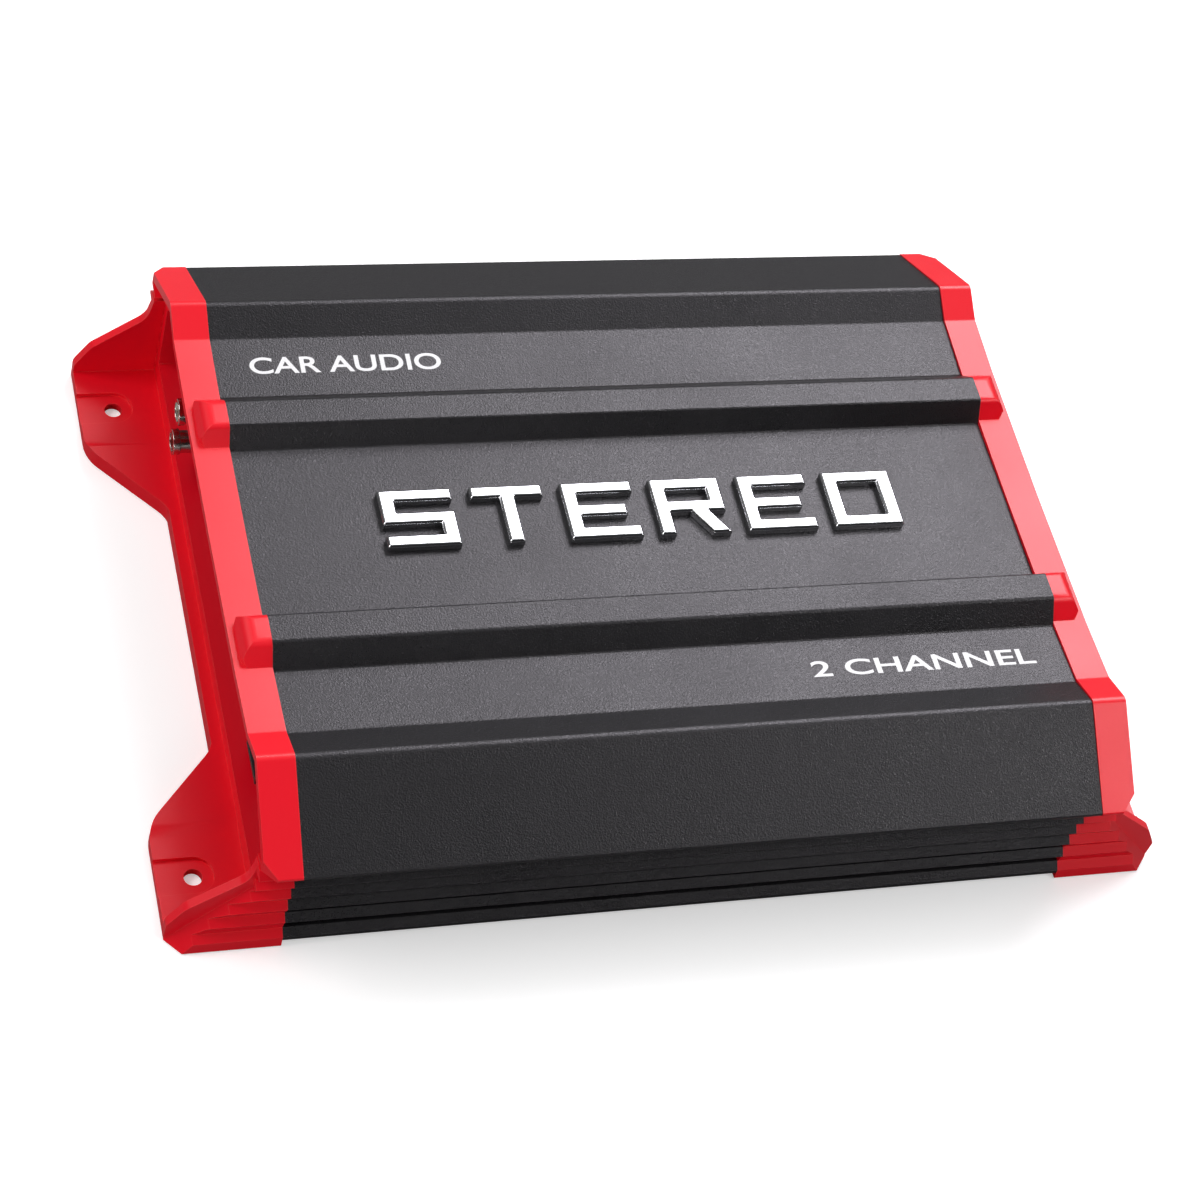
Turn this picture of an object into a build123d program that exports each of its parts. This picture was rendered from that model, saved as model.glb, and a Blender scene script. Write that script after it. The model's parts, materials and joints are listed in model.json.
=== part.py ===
from build123d import *
import math
import os

# Two-channel car amplifier, in millimetres. X runs along the finned heatsink, Y across it, +Z is up.
# The origin is at the middle of the underside.
# The left end (-X) takes the signal, the right end (+X) the power.

os.makedirs("parts", exist_ok=True)

# --- driving sizes ---
body_half = 134.0          # half the length of the heatsink
cap_out = 146.0            # outer face of an end cap's band
ear_out = 170.5            # outer edge of the mounting ears
ledge_out = 142.0          # outer face of the thick frame inside an end cap
top_z = 64.0               # ridges and ribs
mid_z = 56.2               # sunken middle panel
panel_z = 56.9             # outer panels, beside the ribs
edge_y = 122.6             # widest edge of the side faces
edge_z = 45.3
ridge_y = 90.2
foot_y = 78.6              # where the ridge slope meets the outer panel
foot_z = 58.5
rib_in = 38.0              # flat top of a rib, inner and outer edge
rib_out = 48.0
rib_base_in = 33.0
rib_base_out = 54.8
fin_root = 110.5
fin_pitch = 6.9
fin_top_z = 39.4
fin_count = 5
cavity_y = 106.5
body_bottom = 2.5
floor_z = 6.5              # middle floor of an end cap
curb_z = 13.0              # curb between that floor and the end panel
pad_z = 4.5                # ear pads
pocket_z = 3.0             # screw seats in the ears
gusset_in = 111.0
gusset_out = 114.0
gusset_top = 40.5
bump_out = 144.2           # outer end of the covers over the rib ends
seat_r = 6.6               # screw seats in the ears
hole_x = 158.5             # mounting holes
hole_y = 94.5
hole_r = 3.0
board_top = 16.0
board_thick = 1.6
panel_thick = 1.5
screw_port_r = 1.5
screw_shank_r = 1.45
ridge_port = (90.5, 55.2)  # screw channels of the heatsink, as y and z
side_port = (103.4, 9.6)
roof_port = (74.0, 50.6)
port_wall_r = 3.6
plate_hole_r = 1.7         # clearance holes for the small screws


def mirrored(half):
    """Closed section outline from the points of its +Y half."""
    return list(half) + [(-y, z) for y, z in reversed(half) if y > 0]


def prism_x(points, x0, x1, radii=None):
    """Solid with a YZ outline, from x0 to x1."""
    if radii is None:
        line = Polyline(*points, close=True)
    else:
        line = FilletPolyline(*points, radius=radii, close=True)
    face = Plane.YZ * make_face(line)
    return Pos(x0, 0, 0) * extrude(face, x1 - x0, dir=(1, 0, 0))


def prism_y(points, y0, y1, radii=None):
    """Solid with an XZ outline, from y0 to y1."""
    if radii is None:
        line = Polyline(*points, close=True)
    else:
        line = FilletPolyline(*points, radius=radii, close=True)
    face = Plane.XZ * make_face(line)
    return Pos(0, y0, 0) * extrude(face, y1 - y0, dir=(0, 1, 0))


def prism_z(points, z0, z1, radii=None):
    """Solid with an XY outline, from z0 to z1."""
    if radii is None:
        line = Polyline(*points, close=True)
    else:
        line = FilletPolyline(*points, radius=radii, close=True)
    return Pos(0, 0, z0) * extrude(make_face(line), z1 - z0, dir=(0, 0, 1))


def block(x0, x1, y0, y1, z0, z1):
    """Box between two corners."""
    return Pos((x0 + x1) / 2, (y0 + y1) / 2, (z0 + z1) / 2) * Box(x1 - x0, y1 - y0, z1 - z0)


def rod_x(radius, x0, x1, y, z):
    return Pos((x0 + x1) / 2, y, z) * Rot(0, 90, 0) * Cylinder(radius, x1 - x0)


def rod_y(radius, y0, y1, x, z):
    return Pos(x, (y0 + y1) / 2, z) * Rot(90, 0, 0) * Cylinder(radius, y1 - y0)


def rod_z(radius, z0, z1, x, y):
    return Pos(x, y, (z0 + z1) / 2) * Cylinder(radius, z1 - z0)


def cut(base, tools):
    """Base less every tool."""
    for tool in tools:
        base = base - tool
    return base


def save(name, shapes):
    """Write one sub-part; a list of solids becomes one node."""
    if not isinstance(shapes, (list, tuple)):
        shapes = [shapes]
    solids = []
    for shape in shapes:
        solids += list(shape.solids())
    whole = solids[0] if len(solids) == 1 else Compound(children=solids)
    export_step(whole, "parts/" + name + ".step")
    print(name, len(solids), round(sum(s.volume for s in solids)))


def fin_tip(z):
    """How far a fin tip reaches at a height: the finned side has a slight waist."""
    return 117.3 + 0.0045 * (z - 24.0) ** 2


def fin_points():
    """Finned side from the widest edge down to the foot, as +Y points."""
    points = [(edge_y, edge_z), (edge_y - 0.3, edge_z - 1.2), (fin_root, 42.6)]
    for i in range(fin_count):
        z = fin_top_z - fin_pitch * i
        tip = fin_tip(z)
        points.append((fin_root, z + 1.9))
        points.append((tip - 2.6, z + 1.2))
        points.append((tip, z - 0.9))
        points.append((tip - 0.4, z - 1.7))
        points.append((fin_root, z - 2.5))
    foot = fin_tip(body_bottom)
    points.append((fin_root, 6.9))
    points.append((foot - 2.6, 6.2))
    points.append((foot, 4.1))
    return points


# --- heatsink extrusion ---
def heatsink():
    top = [
        (0, mid_z),
        (rib_base_in, mid_z),
        (rib_in, top_z),
        (rib_out, top_z),
        (rib_base_out, panel_z),
        (foot_y, foot_z),
        (ridge_y, top_z),
    ]
    top_radii = [0, 1.2, 1.0, 2.0, 1.2, 2.5, 3.0]
    side = fin_points()
    side_radii = [0.6] + [0] * (len(side) - 1)
    half = top + side + [(fin_tip(body_bottom), body_bottom)]
    radii = top_radii + side_radii + [0]
    outline = mirrored(half)
    all_radii = radii + list(reversed(radii[1:]))
    body = prism_x(outline, -body_half, body_half, all_radii)
    cavity_half = [
        (0, 51.7),
        (58, 51.7),
        (78, 54.0),
        (84, 54.0),
        (84, 50.4),
        (96, 50.4),
        (cavity_y, 46.0),
        (cavity_y, -1),
    ]
    body = body - prism_x(mirrored(cavity_half), -body_half - 1, body_half + 1)
    for side_sign in (-1, 1):
        for port_y, port_z in (side_port, roof_port):
            body = body + rod_x(port_wall_r, -body_half, body_half, side_sign * port_y, port_z)
        for port_y, port_z in (ridge_port, side_port, roof_port):
            body = body - rod_x(screw_port_r, -body_half - 1, body_half + 1, side_sign * port_y, port_z)
        for screw_x in plate_screw_x:
            body = body - rod_z(screw_port_r, 0, 12, screw_x, side_sign * plate_screw_y)
        low, high = sorted((side_sign * (cavity_y - 1), side_sign * (fin_root - 1)))
        for screw_x in clamp_screw_x:
            body = body - rod_y(screw_port_r, low, high, screw_x, clamp_screw_z)
    return body


# --- bottom plate, with dished screws ---
plate_screw_x = [-118.0, -40.0, 40.0, 118.0]
plate_screw_y = 108.5
plate_bottom = 1.0


def bottom_plate():
    plate = block(-body_half, body_half, -113.0, 113.0, plate_bottom, body_bottom)
    for x in plate_screw_x:
        for s in (-1, 1):
            plate = plate - rod_z(plate_hole_r, 0, 3, x, s * plate_screw_y)
    for x in standoff_x:
        for y in standoff_y:
            plate = plate - rod_z(plate_hole_r, 0, 3, x, y)
    return plate


def plate_screws():
    screws = []
    for x in plate_screw_x:
        for s in (-1, 1):
            y = s * plate_screw_y
            head = rod_z(2.9, 0.15, plate_bottom, x, y)
            head = head - block(x - 2.2, x + 2.2, y - 0.35, y + 0.35, 0, 0.55)
            screws.append(head + rod_z(screw_shank_r, plate_bottom, 10.0, x, y))
    return screws


# --- end caps ---
def cap_outline():
    """Outside of the cap's band, as +Y points with their corner radii."""
    top = [(0, 57.2), (rib_base_out, 57.9), (foot_y - 0.3, 59.3), (ridge_y, top_z + 0.6)]
    side = fin_points()
    side[0] = (edge_y + 0.4, edge_z + 0.1)
    half = top + side + [(fin_tip(0), 0.0)]
    radii = [0, 0, 2.5, 3.0, 0.8] + [0] * len(side)
    return mirrored(half), radii + list(reversed(radii[1:]))


def ear_plan():
    """Plan of the cap's floor: two ears with a step back between them."""
    half = [
        (gusset_out, body_half),
        (gusset_out, ear_out),
        (76.0, ear_out),
        (48.5, 145.5),
    ]
    radii = [0, 2.5, 15.0, 12.0]
    points = [(x, y) for y, x in half]
    points += [(x, -y) for x, y in reversed(points)]
    return points, radii + list(reversed(radii))


def end_cap():
    """Right-hand end cap; the left one is its mirror image."""
    outline, radii = cap_outline()
    cap = prism_x(outline, body_half, cap_out, radii)
    # the band is open inside: a lip 2.6 thick past the frame
    lip_half = [
        (0, 54.6),
        (54, 54.9),
        (77.6, 56.6),
        (89.6, 61.3),
        (116.6, 45.4),
        (gusset_in, 43.0),
        (gusset_in, floor_z),
        (0, floor_z),
    ]
    cap = cap - prism_x(mirrored(lip_half), ledge_out, cap_out + 1)
    frame_half = [
        (0, 53.6),
        (52, 53.6),
        (74, 54.6),
        (82.5, 48.6),
        (97, 48.6),
        (cavity_y, 42.0),
        (cavity_y, curb_z),
        (0, curb_z),
    ]
    cap = cap - prism_x(mirrored(frame_half), body_half - 1, ledge_out + 1)
    plan, plan_radii = ear_plan()
    cap = cap + prism_z(plan, 0.0, floor_z, plan_radii)
    for s in (-1, 1):
        # the gusset sweeps down from the band to the ear
        wall = [
            (body_half, 0.0),
            (body_half, gusset_top),
            (cap_out, gusset_top),
            (147.5, 32.0),
            (165.5, 17.0),
            (ear_out, 8.0),
            (ear_out, 0.0),
        ]
        wall_radii = [0, 0, 0, 9.0, 9.0, 5.0, 0]
        low, high = sorted((s * gusset_in, s * gusset_out))
        cap = cap + prism_y(wall, low, high, wall_radii)
        cap = cap + fin_block(s)
    for s in (-1, 1):
        pad = [
            (s * 76.0, floor_z),
            (s * 80.0, pad_z),
            (s * gusset_in, pad_z),
            (s * gusset_in, floor_z + 2),
            (s * 76.0, floor_z + 2),
        ]
        cap = cap - prism_x(pad, ledge_out, ear_out + 1)
        seat = rod_z(seat_r, pocket_z, floor_z + 1, hole_x, s * hole_y)
        slot = block(hole_x, ear_out + 1, s * hole_y - seat_r, s * hole_y + seat_r, pocket_z, floor_z + 1)
        cap = cap - seat - slot - rod_z(hole_r, -1, floor_z, hole_x, s * hole_y)
        cap = cap + rib_bump(s)
        # the lower corner of the band is cut back in plan
        corner = [(141.0, s * 123.5), (150.0, s * 123.5), (150.0, s * 112.7)]
        cap = cap - prism_z(corner, 40.0, 52.0)
        cap = cap - rod_x(screw_port_r + 0.1, body_half - 1, ledge_out + 1, s * ridge_port[0], ridge_port[1])
        cap = cap - rod_x(3.2, body_half - 1, body_half + panel_thick + 2.3, s * side_port[0], side_port[1])
    # rebate for the end panel
    cap = cap - prism_x(mirrored(panel_half(0.15)), body_half - 1, body_half + panel_thick + 0.05)
    return cap


def fin_block(s):
    """Fins carried on past the band; a sloping plane ends each one further out than the one above."""
    side = fin_points()[2:]
    points = [(s * gusset_in, side[0][1] - 1.0)]
    points += [(s * y, z) for y, z in side if y > fin_root]
    points += [(s * fin_tip(0), 0.0), (s * gusset_in, 0.0)]
    fins = prism_x(points, body_half, ear_out)
    slope = Plane(origin=(139.9, s * gusset_out, 35.5), z_dir=(1.0, 0.9 * s, 0.87))
    return split(fins, bisect_by=slope, keep=Keep.BOTTOM)


def rib_bump(s):
    """Rounded cover over the end of a rib."""
    across = [
        (s * (rib_base_in - 0.3), mid_z),
        (s * (rib_in - 0.1), top_z + 0.05),
        (s * (rib_out + 0.1), top_z + 0.05),
        (s * (rib_base_out + 0.3), mid_z),
    ]
    bump = prism_x(across, body_half, bump_out, [0, 3.0, 4.5, 0])
    plan = [
        (body_half, s * 30.0),
        (bump_out, s * 33.0),
        (bump_out, s * 53.5),
        (body_half, s * 58.0),
    ]
    bump = bump & prism_z(plan, mid_z - 4, top_z + 4, [0, 9.0, 9.0, 0])
    nose = [
        (body_half - 1, mid_z - 1),
        (bump_out, mid_z - 1),
        (bump_out, mid_z + 2.4),
        (bump_out - 3.0, top_z + 0.05),
        (body_half - 1, top_z + 0.05),
    ]
    low, high = sorted((s * 28.0, s * 60.0))
    return bump & prism_y(nose, low, high, [0, 0, 2.5, 5.0, 0])


def panel_half(grow):
    """+Y half of an end panel's outline."""
    return [
        (0, 55.2 + grow),
        (53, 55.2 + grow),
        (74.5 + grow, 56.0 + grow),
        (84.0 + grow, 51.4 + grow),
        (98.5 + grow, 51.0 + grow),
        (108.0 + grow, 43.0 + grow),
        (108.0 + grow, 4.0 - grow),
        (0, 4.0 - grow),
    ]


def cap_screws(side):
    """Two screws through the band's thick corners into the heatsink."""
    screws = []
    for s in (-1, 1):
        y, z = s * ridge_port[0], ridge_port[1]
        head = rod_x(2.7, ledge_out, ledge_out + 2.0, y, z)
        head = head - rod_x(1.25, ledge_out + 0.8, ledge_out + 3.0, y, z)
        screw = head + rod_x(screw_shank_r, body_half - 10, ledge_out, y, z)
        screws.append(screw if side > 0 else mirror(screw, about=Plane.YZ))
    return screws


def panel_screws(side):
    """Four screws that hold an end panel to the heatsink."""
    screws = []
    face = body_half + panel_thick
    for s in (-1, 1):
        for port_y, port_z in (side_port, roof_port):
            y = s * port_y
            head = rod_x(2.6, face, face + 1.8, y, port_z)
            head = head - block(face + 1.0, face + 3, y - 0.4, y + 0.4, port_z - 1.8, port_z + 1.8)
            head = head - block(face + 1.0, face + 3, y - 1.8, y + 1.8, port_z - 0.4, port_z + 0.4)
            screw = head + rod_x(screw_shank_r, body_half - 8, face, y, port_z)
            screws.append(screw if side > 0 else mirror(screw, about=Plane.YZ))
    return screws


def panel_plate(side):
    """Flat end panel with its screw holes."""
    plate = prism_x(mirrored(panel_half(0.0)), body_half, body_half + panel_thick)
    for s in (-1, 1):
        for port_y, port_z in (side_port, roof_port):
            plate = plate - rod_x(screw_port_r, body_half - 1, body_half + 3, s * port_y, port_z)
        plate = plate - rod_x(3.2, body_half - 1, body_half + 3, s * ridge_port[0], ridge_port[1])
    return plate if side > 0 else mirror(plate, about=Plane.YZ)


# --- raised badge ---
glyph_w = 25.0
glyph_h = 23.0
glyph_stroke = 5.4
glyph_pitch = 31.2
badge_height = 3.0


def bar(x0, x1, y0, y1):
    """One stroke of a badge letter, given as fractions of the glyph box."""
    w = glyph_w
    h = glyph_h
    return Pos((x0 + x1) / 2 * w, (y0 + y1) / 2 * h) * Rectangle((x1 - x0) * w, (y1 - y0) * h)


def glyph(letter):
    """Plain block letter as a flat sketch."""
    sx = glyph_stroke / glyph_w
    sy = glyph_stroke / glyph_h * 0.86
    mid0 = 0.5 - sy / 2
    mid1 = 0.5 + sy / 2
    top = bar(0, 1, 1 - sy, 1)
    middle = bar(0, 1, mid0, mid1)
    base = bar(0, 1, 0, sy)
    left = bar(0, sx, 0, 1)
    if letter == "S":
        shape = top + middle + base + bar(0, sx, mid0, 1) + bar(1 - sx, 1, 0, mid1)
    elif letter == "T":
        shape = top + bar(0.5 - sx / 2, 0.5 + sx / 2, 0, 1)
    elif letter == "E":
        shape = top + bar(0, 0.86, mid0, mid1) + base + left
    elif letter == "R":
        leg = make_face(Polyline(
            (0.5 * glyph_w, mid0 * glyph_h + 0.2),
            (0.76 * glyph_w, mid0 * glyph_h + 0.2),
            (glyph_w, 0),
            (0.74 * glyph_w, 0),
            close=True,
        ))
        shape = top + middle + left + bar(1 - sx, 1, mid0, 1) + leg
    else:
        shape = top + base + left + bar(1 - sx, 1, 0, 1)
    return shape


def badge():
    letters = []
    word = "STEREO"
    start = 1.5 - glyph_pitch * (len(word) - 1) / 2 - glyph_w / 2
    for i, letter in enumerate(word):
        solid = extrude(glyph(letter), badge_height, dir=(0, 0, 1))
        top_edges = solid.edges().group_by(Axis.Z)[-1]
        solid = chamfer(top_edges, 0.7)
        letters.append(Pos(start + glyph_pitch * i, 1.0 - glyph_h / 2, mid_z) * solid)
    return letters


# --- signal end: sockets, knobs, switch ---
jack_y = 59.6
jack_z = [28.5, 44.5]
left_face = -body_half - panel_thick
knob_y = [36.0, 20.0, 4.0, -12.0]
control_z = 42.0
switch_y = -30.0
socket_y = -62.0
led_y = [-44.0, -50.0]
control_board_z = 34.0
spacer_x = -100.0
spacer_y = [-50.0, 38.0]
jack_out = -146.0          # mouth of the signal sockets
jack_shell_r = 3.9
jack_core_r = 3.3
jack_pin_r = 1.9
jack_bore_r = 1.6
knob_r = 4.4
knob_shaft_r = 1.5


def left_panel():
    plate = panel_plate(-1)
    holes = [block(-138, -132, jack_y - 7.2, jack_y + 7.2, board_top - 0.2, 50.8)]
    for y in knob_y:
        holes.append(rod_x(2.2, -138, -132, y, control_z))
    holes.append(block(-138, -132, switch_y - 5.0, switch_y + 5.0, control_z - 2.0, control_z + 2.0))
    holes.append(block(-138, -132, socket_y - 8.2, socket_y + 8.2, board_top - 0.2, 26.2))
    for y in led_y:
        holes.append(rod_x(1.6, -138, -132, y, control_z))
    return cut(plate, holes)


def jack_block():
    body = block(-136.4, -119.0, jack_y - 7.0, jack_y + 7.0, board_top, 50.6)
    for z in jack_z:
        body = body - rod_x(jack_shell_r + 0.05, -137, -124, jack_y, z)
    return body


def jack_shells():
    shells = []
    for z in jack_z:
        tube = rod_x(jack_shell_r, jack_out, -125.0, jack_y, z)
        tube = tube + rod_x(jack_shell_r + 0.6, jack_out, jack_out + 2.4, jack_y, z)
        tube = tube - rod_x(jack_core_r + 0.05, jack_out - 1, -126.0, jack_y, z)
        shells.append(tube)
    return shells


def jack_cores():
    cores = []
    for z in jack_z:
        core = rod_x(jack_core_r, jack_out + 1.4, -126.05, jack_y, z)
        core = core - rod_x(jack_pin_r + 0.05, jack_out - 1, -127.0, jack_y, z)
        cores.append(core)
    return cores


def jack_contacts():
    contacts = []
    for z in jack_z:
        pin = rod_x(jack_pin_r, jack_out + 2.2, -128.0, jack_y, z)
        pin = pin - rod_x(jack_bore_r, jack_out, -130.0, jack_y, z)
        contacts.append(pin)
    return contacts


def knob(y):
    """Trimmer knob on its own shaft, with a pointer groove."""
    grip = rod_x(knob_r, -141.5, -136.3, y, control_z)
    flutes = 12
    for i in range(flutes):
        a = 2 * math.pi * (i + 0.5) / flutes
        reach = knob_r + 0.05
        grip = grip - rod_x(0.45, -142, -137.2, y + reach * math.cos(a), control_z + reach * math.sin(a))
    grip = grip - block(-142, -140.7, y - 0.5, y + 0.5, control_z, control_z + 5)
    return grip + rod_x(knob_shaft_r, -136.3, -128.0, y, control_z)


def pots():
    """Potentiometer bodies behind the panel, each with a bearing for its shaft."""
    bodies = []
    for y in knob_y:
        body = block(-133.6, -124.0, y - 5.0, y + 5.0, 35.6, 47.5)
        body = body - rod_x(knob_shaft_r + 0.05, -134, -127.4, y, control_z)
        bodies.append(body)
    return bodies


def switch_slider():
    rail = block(-133.2, -130.8, switch_y - 2.6, switch_y + 2.6, control_z - 1.6, control_z + 1.6)
    tab = block(-139.0, -133.2, switch_y - 1.7, switch_y + 1.7, control_z - 1.5, control_z + 1.5)
    tab = tab - block(-140, -138.4, switch_y - 0.3, switch_y + 0.3, control_z - 2, control_z + 2)
    return rail + tab


def switch_body():
    body = block(-133.6, -126.0, switch_y - 7.0, switch_y + 7.0, 35.6, 46.0)
    body = body - block(-134, -130.5, switch_y - 5.2, switch_y + 5.2, control_z - 1.9, control_z + 1.9)
    return body


def speaker_input():
    body = block(-136.8, -122.0, socket_y - 8.0, socket_y + 8.0, board_top, 26.0)
    body = body - block(-137.5, -126.0, socket_y - 6.6, socket_y + 6.6, board_top + 1.4, 24.6)
    return cut(body, speaker_input_pins())


def speaker_input_pins():
    pins = []
    for i in range(4):
        y = socket_y - 4.5 + 3.0 * i
        pins.append(block(-134.0, -124.0, y - 0.4, y + 0.4, 20.6, 21.4))
    return pins


def indicator_lenses():
    lenses = []
    for y in led_y:
        lens = rod_x(1.5, -136.2, -130.0, y, control_z)
        lenses.append(lens + Pos(-136.2, y, control_z) * Sphere(1.5))
    return lenses


def control_board():
    board = block(-133.0, -96.0, -56.0, 44.0, control_board_z, control_board_z + board_thick)
    for y in spacer_y:
        board = board - rod_z(plate_hole_r, control_board_z - 1, 36, spacer_x, y)
    return board


def board_header():
    """Pin strip that carries the control board on the main board, with two spacers."""
    strip = block(-112.0, -108.0, -30.0, 20.0, board_top, control_board_z)
    spacers = []
    for y in spacer_y:
        spacers.append(rod_z(3.0, board_top, control_board_z, spacer_x, y))
    return [strip] + spacers


# --- power end: clamp terminals and fuses ---
pitch_power = 17.0
pitch_speaker = 14.0
power_y = [-72.0 + pitch_power * i for i in range(3)]
speaker_y = [28.0 + pitch_speaker * i for i in range(4)]
block_front = 156.0
block_back = 121.0
clamp_x = 148.6


def terminal_sizes(kind):
    """Half width of a cage, of its cavity, screw radius and head radius."""
    if kind == "power":
        return 5.6, 6.0, 2.5, 3.6
    return 4.6, 5.0, 2.0, 3.0


def terminal_block(kind, ys):
    cage, cavity, screw_r, head_r = terminal_sizes(kind)
    edge = cavity + 2.2
    body = block(block_back, block_front, ys[0] - edge, ys[-1] + edge, board_top, 41.0)
    body = body - block(block_back - 1, 131.0, ys[0] - edge - 1, ys[-1] + edge + 1, 33.0, 42.0)
    for y in ys:
        body = body - block(142.0, block_front + 1, y - cavity, y + cavity, 17.6, 39.0)
        body = body - rod_z(screw_r + 0.07, 38, 42, clamp_x, y)
        body = body - block(128.0, 143.0, y - 3.05, y + 3.05, 26.45, 28.55)
    return body


def terminal_bars(ys):
    """Fixed contact bars that run from the board out through each cage."""
    bars = []
    for y in ys:
        bar_solid = block(128.0, 153.6, y - 3.0, y + 3.0, 26.5, 28.5)
        bars.append(bar_solid)
    return bars


def terminal_cage(kind, y):
    """Cage that the screw draws up, so the wire is pressed against the bar."""
    cage, cavity, screw_r, head_r = terminal_sizes(kind)
    ring = block(143.6, 153.2, y - cage, y + cage, 18.0, 34.0)
    ring = ring - block(143, 154, y - cage + 1.2, y + cage - 1.2, 19.4, 31.4)
    return ring - rod_z(screw_r + 0.05, 31, 35, clamp_x, y)


def terminal_screw(kind, y):
    cage, cavity, screw_r, head_r = terminal_sizes(kind)
    screw = rod_z(screw_r, 28.8, 41.25, clamp_x, y) + rod_z(head_r, 41.25, 44.2, clamp_x, y)
    socket = Pos(clamp_x, y, 43.2) * extrude(RegularPolygon(screw_r * 0.72, 6), 2, dir=(0, 0, 1))
    return screw - socket


fuse_y = [-8.0, 6.0]
fuse_z = 27.0
blade_offset = 7.0         # half the spacing of a fuse's two blades


def fuse_holder():
    body = block(122.0, 139.0, -16.0, 14.0, board_top, 38.0)
    for y in fuse_y:
        body = body - block(136.0, 140.0, y - 3.2, y + 3.2, fuse_z - 10.2, fuse_z + 10.2)
        for s in (-1, 1):
            z = fuse_z + s * blade_offset
            body = body - block(124.0, 137.0, y - 1.6, y + 1.6, z - 2.9, z + 2.9)
    return body


def fuse_clips():
    clips = []
    for y in fuse_y:
        for s in (-1, 1):
            z = fuse_z + s * blade_offset
            for t in (-1, 1):
                low, high = sorted((y + t * 0.75, y + t * 1.55))
                clips.append(block(124.6, 135.6, low, high, z - 2.6, z + 2.6))
    return clips


def fuse_body(y):
    grip = block(139.4, 148.4, y - 2.5, y + 2.5, fuse_z - 9.4, fuse_z + 9.4)
    waist = block(136.4, 139.4, y - 1.9, y + 1.9, fuse_z - 9.0, fuse_z + 9.0)
    window = block(141.5, 146.0, y - 3.0, y - 1.6, fuse_z - 5.6, fuse_z + 5.6)
    blades = []
    for s in (-1, 1):
        z = fuse_z + s * blade_offset
        blades.append(block(136.0, 143.0, y - 0.35, y + 0.35, z - 2.6, z + 2.6))
    return cut(grip + waist - window, blades)


def fuse_blades(y):
    blades = []
    for s in (-1, 1):
        z = fuse_z + s * blade_offset
        blades.append(block(127.0, 142.9, y - 0.3, y + 0.3, z - 2.5, z + 2.5))
    return blades


def right_panel():
    plate = panel_plate(1)
    holes = []
    for kind, ys in (("power", power_y), ("speaker", speaker_y)):
        edge = terminal_sizes(kind)[1] + 2.4
        holes.append(block(132, 138, ys[0] - edge, ys[-1] + edge, board_top - 0.2, 41.2))
    holes.append(block(132, 138, -16.2, 14.2, board_top - 0.2, 38.2))
    return cut(plate, holes)


# --- inside: board, parts on it, and the power transistors on the heatsink walls ---
standoff_x = [-108.0, 0.0, 108.0]
standoff_y = [-88.0, 88.0]
clamp_screw_x = [-72.0, -24.0, 24.0, 72.0]
clamp_screw_z = 33.0
clamp_hole_r = 1.7


def main_board():
    board = block(-131.0, 131.0, -105.0, 105.0, board_top - board_thick, board_top)
    for x in standoff_x:
        for y in standoff_y:
            board = board - rod_z(plate_hole_r, 10, 20, x, y)
    return board


def standoffs():
    posts = []
    for x in standoff_x:
        for y in standoff_y:
            height = board_top - board_thick - body_bottom
            post = Pos(x, y, body_bottom) * extrude(RegularPolygon(3.4, 6), height, dir=(0, 0, 1))
            posts.append(post - rod_z(screw_port_r, 0, 20, x, y))
    return posts


def board_screws():
    screws = []
    for x in standoff_x:
        for y in standoff_y:
            head = rod_z(2.7, board_top, board_top + 1.8, x, y)
            head = head - rod_z(1.2, board_top + 0.9, board_top + 3, x, y)
            screws.append(head + rod_z(screw_shank_r, 9.0, board_top, x, y))
            under = rod_z(2.8, 0.2, plate_bottom, x, y) - block(x - 2, x + 2, y - 0.35, y + 0.35, 0, 0.6)
            screws.append(under + rod_z(screw_shank_r, plate_bottom, 7.5, x, y))
    return screws


toroid_x = 62.0
toroid_y = -34.0
toroid_r = 24.0
toroid_bore_r = 13.0


def toroid_core():
    ring = rod_z(toroid_r, 19.0, 35.0, toroid_x, toroid_y)
    return ring - rod_z(toroid_bore_r, 18, 36, toroid_x, toroid_y)


def toroid_winding():
    """Copper wound round the core: a hollow ring of the winding's outer shape."""
    outer = rod_z(toroid_r + 3.5, board_top + 0.2, 38.0, toroid_x, toroid_y)
    outer = outer - rod_z(toroid_bore_r - 3.5, 15, 39, toroid_x, toroid_y)
    outer = fillet(outer.edges().filter_by(GeomType.CIRCLE), 2.6)
    return outer - toroid_core()


def can(radius, height, x, y):
    """Electrolytic capacitor with a rolled groove near its foot and a scored top."""
    body = rod_z(radius, board_top, board_top + height, x, y)
    body = fillet(body.edges().group_by(Axis.Z)[-1], 0.9)
    ring = rod_z(radius + 1, board_top + 2.4, board_top + 3.6, x, y)
    ring = ring - rod_z(radius - 0.5, board_top + 2, board_top + 4, x, y)
    score = board_top + height - 0.3
    reach = radius * 0.6
    vent = block(x - reach, x + reach, y - 0.25, y + 0.25, score, score + 1.3)
    cross = block(x - 0.25, x + 0.25, y - reach, y + reach, score, score + 1.3)
    return cut(body, [ring, vent, cross])


def input_capacitors():
    return [can(9.0, 29.0, 100.0, -72.0 + 22.0 * i) for i in range(3)]


def rail_capacitors():
    return [can(8.0, 30.0, 12.0 + 20.0 * (i % 2), 12.0 + 20.0 * (i // 2)) for i in range(4)]


def small_capacitors():
    return [can(3.2, 9.0, -20.0 - 15.0 * i, 48.0 - 24.0 * (i % 2)) for i in range(6)]


def output_coils():
    coils = []
    for y in (20.0, 58.0):
        coil = rod_z(9.0, board_top + 0.1, board_top + 20.0, 78.0, y) - rod_z(3.1, 10, 40, 78.0, y)
        coils.append(fillet(coil.edges().filter_by(GeomType.CIRCLE), 1.2))
    return coils


def coil_cores():
    return [rod_z(3.0, board_top + 0.1, board_top + 19.0, 78.0, y) for y in (20.0, 58.0)]


transistor_x = [-84.0 + 24.0 * i for i in range(8)]
pad_face = cavity_y - 0.3


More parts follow.
